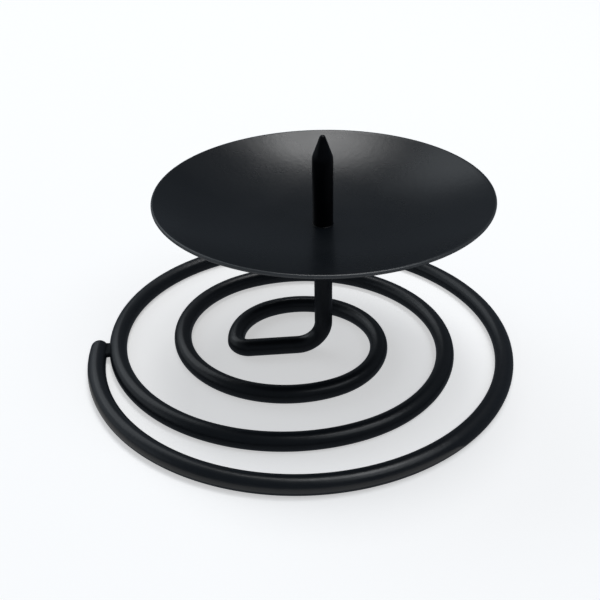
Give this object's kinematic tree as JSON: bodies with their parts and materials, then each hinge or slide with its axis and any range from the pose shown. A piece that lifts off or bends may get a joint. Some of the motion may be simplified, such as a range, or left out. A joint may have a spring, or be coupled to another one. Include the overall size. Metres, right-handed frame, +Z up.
{
  "type": "spiral candle holder",
  "caption": "Pillar candle holder: a round black rod lies as a flat spiral foot, then turns up into a stem that carries a dished drip plate with a pointed candle spike.",
  "frame": {"origin": "on the table, at the centre of the spiral's outer turn", "axes": "+Z up along the stem and the spike, -Y towards the viewer of the picture, +X to the right"},
  "size_m": [0.1452, 0.1452, 0.0784],
  "materials": {
    "black_coat": "satin black powder coat"
  },
  "bodies": {
    "root": {"spiral_rod": "black_coat", "drip_plate": "black_coat", "candle_spike": "black_coat", "spike_weld": "black_coat", "stem_weld": "black_coat", "end_weld": "black_coat"}
  },
  "joints": []
}
